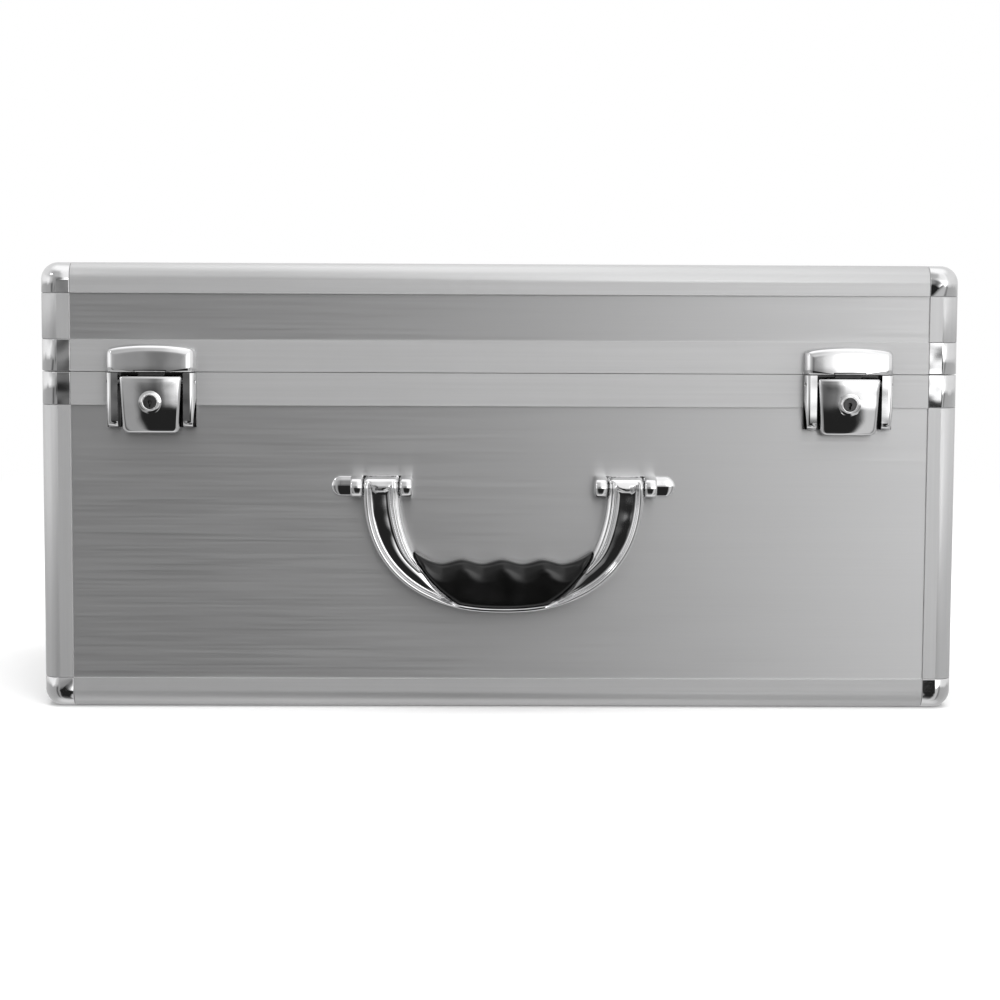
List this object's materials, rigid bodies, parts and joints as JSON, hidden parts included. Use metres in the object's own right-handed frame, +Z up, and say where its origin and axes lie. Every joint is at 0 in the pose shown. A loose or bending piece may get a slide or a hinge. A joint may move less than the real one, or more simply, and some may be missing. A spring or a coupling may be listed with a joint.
{
  "type": "poker chip case",
  "caption": "Deep aluminium poker chip case with hinged lid, key latches, drop handle, chrome corners and lift-out chip trays.",
  "frame": {"origin": "centre of the case's bottom face", "axes": "+Z up, +X to the right when facing the front, the front with its latches and handle faces -Y"},
  "size_m": [0.53, 0.2714, 0.258],
  "materials": {
    "brushed_panel": "fine horizontal brushed grain",
    "satin_rail": "satin anodised",
    "chrome_plate": "bright chrome plate",
    "steel_fixings": "nickel-plated steel",
    "brass_plug": "nickel-plated brass",
    "fibreboard": "sanded edge",
    "black_lining": "short black nap",
    "black_foam": "open-cell foam",
    "foot_rubber": "moulded matt",
    "grip_rubber": "smooth moulded, half gloss",
    "flocked_tray": "black flocked moulding"
  },
  "bodies": {
    "base": {"base_front_panel": "brushed_panel", "base_back_panel": "brushed_panel", "base_left_panel": "brushed_panel", "base_right_panel": "brushed_panel", "base_floor_panel": "brushed_panel", "base_boards": "fibreboard", "base_corner_posts": "satin_rail", "base_bottom_rails": "satin_rail", "base_closure_rails": "satin_rail", "base_bottom_corners": "chrome_plate", "base_closure_corners": "chrome_plate", "base_wall_lining": "black_lining", "floor_pad": "black_foam", "compartment_dividers": "black_lining", "back_feet": "foot_rubber", "foot_screws": "steel_fixings", "handle_brackets": "chrome_plate", "handle_bracket_rivets": "steel_fixings", "handle_pins": "steel_fixings", "hinge_base_leaves": "chrome_plate", "hinge_pins": "steel_fixings", "hinge_base_rivets": "steel_fixings", "latch_housings": "chrome_plate", "lever_pins": "steel_fixings", "latch_rivets": "steel_fixings"},
    "lid": {"lid_top_panel": "brushed_panel", "lid_front_panel": "brushed_panel", "lid_back_panel": "brushed_panel", "lid_left_panel": "brushed_panel", "lid_right_panel": "brushed_panel", "lid_boards": "fibreboard", "lid_top_rails": "satin_rail", "lid_corner_posts": "satin_rail", "lid_closure_rails": "satin_rail", "lid_top_corners": "chrome_plate", "lid_closure_corners": "chrome_plate", "lid_lining": "black_lining", "lid_foam": "black_foam", "hinge_lid_leaves": "chrome_plate", "hinge_lid_rivets": "steel_fixings", "latch_caps": "chrome_plate", "cap_screws": "steel_fixings", "strike_tongues": "steel_fixings", "strike_rivets": "steel_fixings"},
    "handle": {"handle_bow": "chrome_plate", "handle_grip": "grip_rubber"},
    "left_latch": {"left_latch_lever": "chrome_plate", "left_lock_barrel": "chrome_plate", "left_lever_spring": "steel_fixings"},
    "left_lock": {"left_lock_plug": "brass_plug"},
    "right_latch": {"right_latch_lever": "chrome_plate", "right_lock_barrel": "chrome_plate", "right_lever_spring": "steel_fixings"},
    "right_lock": {"right_lock_plug": "brass_plug"},
    "lower_tray": {"lower_chip_tray": "flocked_tray"},
    "upper_tray": {"upper_chip_tray": "flocked_tray"}
  },
  "joints": [
    {"name": "lid_hinge", "type": "hinge", "parent": "base", "child": "lid", "pos_m": [0, 0.124, 0.1955], "axis": [-1, 0, 0], "range_deg": [0, 100]},
    {"name": "handle_swing", "type": "hinge", "parent": "base", "child": "handle", "pos_m": [0.002, -0.1277, 0.13], "axis": [-1, 0, 0], "range_deg": [0, 95]},
    {"name": "left_latch_lift", "type": "hinge", "parent": "base", "child": "left_latch", "pos_m": [-0.2005, -0.126, 0.1902], "axis": [-1, 0, 0], "range_deg": [0, 80]},
    {"name": "left_key_turn", "type": "hinge", "parent": "left_latch", "child": "left_lock", "pos_m": [-0.2005, -0.126, 0.1785], "axis": [0, -1, 0], "range_deg": [0, 90]},
    {"name": "right_latch_lift", "type": "hinge", "parent": "base", "child": "right_latch", "pos_m": [0.2005, -0.126, 0.1902], "axis": [-1, 0, 0], "range_deg": [0, 80]},
    {"name": "right_key_turn", "type": "hinge", "parent": "right_latch", "child": "right_lock", "pos_m": [0.2005, -0.126, 0.1785], "axis": [0, -1, 0], "range_deg": [0, 90]},
    {"name": "lower_tray_lift", "type": "slide", "parent": "base", "child": "lower_tray", "axis": [0, 0, 1], "range_m": [0, 0.013]},
    {"name": "upper_tray_lift", "type": "slide", "parent": "lower_tray", "child": "upper_tray", "axis": [0, 0, 1], "range_m": [0, 0.013]}
  ]
}
